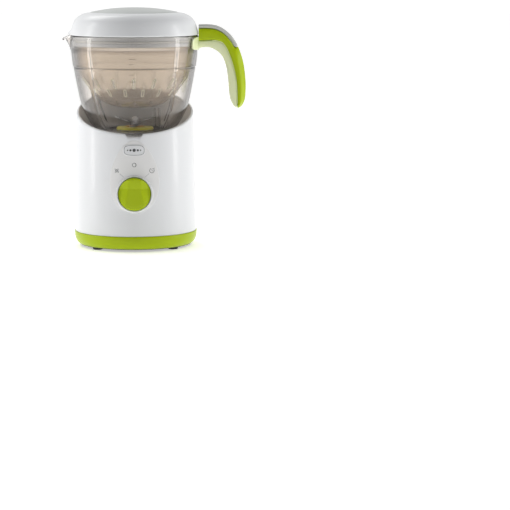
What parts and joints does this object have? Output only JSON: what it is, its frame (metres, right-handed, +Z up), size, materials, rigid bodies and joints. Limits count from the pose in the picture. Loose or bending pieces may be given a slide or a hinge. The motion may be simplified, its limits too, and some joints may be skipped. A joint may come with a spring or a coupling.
{
  "type": "baby food maker",
  "caption": "Countertop steamer and blender for baby food: motor base with a selector knob, clear jug with an open handle, slotted steam basket, blade and domed lid.",
  "frame": {"origin": "on the drive axis, in the plane of the feet's soles", "axes": "+Z up along the drive axis, -Y towards the knob at the front, +X towards the jug's handle"},
  "size_m": [0.2155, 0.1536, 0.28],
  "materials": {
    "white_plastic": "glossy moulded white ABS",
    "panel_plastic": "satin pale grey inset panel",
    "badge_plastic": "blank badge with a fine dark outline",
    "green_plastic": "lime green moulded plastic, satin gloss",
    "pale_green_plastic": "frosted pale green translucent plastic",
    "pale_grey_plastic": "light grey plastic, soft gloss",
    "clear_plastic": "clear, slightly smoky tritan plastic",
    "basket_plastic": "clear warm-tinted plastic",
    "collar_plastic": "yellow-green moulded nylon",
    "inner_white_plastic": "natural white nylon",
    "dark_plastic": "fine-grained dark grey plastic",
    "phenolic": "brown phenolic moulding",
    "carbon": "pressed carbon",
    "black_rubber": "soft black rubber",
    "silicone": "translucent grey silicone",
    "steel": "machined and ground steel",
    "blade_steel": "ground stainless steel",
    "core_steel": "stacked electrical steel laminations",
    "copper": "enamelled copper wire and copper bars",
    "bronze": "sintered bronze bush",
    "aluminium": "die-cast aluminium",
    "heater_sheath": "heat-tinted steel sheath",
    "fuse_body": "cream coated fuse",
    "circuit_board": "green solder mask"
  },
  "bodies": {
    "base": {"housing": "white_plastic", "control_panel": "panel_plastic", "badge": "badge_plastic", "knob_bezel": "white_plastic", "cradle": "white_plastic", "base_ring": "green_plastic", "bottom_cover": "dark_plastic", "rubber_feet": "black_rubber", "cover_screws": "steel", "cord_gland": "black_rubber", "rotary_switch": "dark_plastic", "motor_stator": "core_steel", "motor_windings": "copper", "upper_bracket": "aluminium", "lower_bracket": "aluminium", "upper_bearing": "bronze", "lower_bearing": "bronze", "motor_dampers": "black_rubber", "brush_holders": "phenolic", "carbon_brushes": "carbon", "motor_screws": "steel", "shaft_seal": "black_rubber", "boiler": "aluminium", "boiler_heater": "heater_sheath", "steam_pipe": "steel", "steam_nozzle": "inner_white_plastic", "nozzle_seal": "silicone", "thermostat": "steel", "thermal_fuse": "fuse_body", "control_board": "circuit_board", "terminal_block": "phenolic", "microswitch": "dark_plastic"},
    "rotor": {"rotor_core": "core_steel", "motor_shaft": "steel", "commutator": "copper", "cooling_fan": "dark_plastic", "drive_coupling": "inner_white_plastic"},
    "knob": {"knob": "green_plastic", "switch_spindle": "steel"},
    "filler_cap": {"filler_cap": "pale_grey_plastic"},
    "plunger": {"interlock_plunger": "inner_white_plastic", "plunger_spring": "steel"},
    "jug": {"jug": "clear_plastic", "handle_grip": "green_plastic", "handle_top": "pale_grey_plastic", "handle_liner": "pale_green_plastic", "handle_screws": "steel", "hub_collar": "collar_plastic", "hub_bearing": "bronze", "hub_seal": "silicone", "hub_nut": "inner_white_plastic", "steam_tube": "clear_plastic"},
    "blade": {"blade_set": "blade_steel", "blade_shaft": "steel", "blade_nut": "steel", "drive_socket": "dark_plastic"},
    "lid": {"lid": "white_plastic", "lid_cap": "pale_grey_plastic", "lid_seal": "silicone"},
    "basket": {"basket": "basket_plastic"}
  },
  "joints": [
    {"name": "knob_turn", "type": "hinge", "parent": "base", "child": "knob", "pos_m": [0, -0.0725, 0.0683], "axis": [0, 1, 0], "range_deg": [-37, 37]},
    {"name": "motor_spin", "type": "hinge", "parent": "base", "child": "rotor", "pos_m": [0, 0, 0.06], "axis": [0, 0, 1], "continuous": true},
    {"name": "jug_lift", "type": "slide", "parent": "base", "child": "jug", "axis": [0, 0, 1], "range_m": [0, 0.13]},
    {"name": "plunger_rise", "type": "slide", "parent": "base", "child": "plunger", "axis": [0, 0, 1], "range_m": [0, 0.0026], "deforming": ["plunger_spring"]},
    {"name": "filler_cap_turn", "type": "hinge", "parent": "base", "child": "filler_cap", "pos_m": [0, 0.046, 0.126], "axis": [0, 0, 1], "range_deg": [0, 90]},
    {"name": "blade_spin", "type": "hinge", "parent": "jug", "child": "blade", "pos_m": [0, 0, 0.135], "axis": [0, 0, 1], "continuous": true},
    {"name": "lid_lift", "type": "slide", "parent": "jug", "child": "lid", "axis": [0, 0, 1], "range_m": [0, 0.18]},
    {"name": "basket_lift", "type": "slide", "parent": "jug", "child": "basket", "axis": [0, 0, 1], "range_m": [0, 0.09]}
  ],
  "couplings": [
    {"joint": "blade_spin", "follows": "motor_spin", "ratio": 1},
    {"joint": "plunger_rise", "follows": "jug_lift", "ratio": 0.02},
    {"joint": "basket_lift", "follows": "lid_lift", "ratio": 0.5}
  ]
}
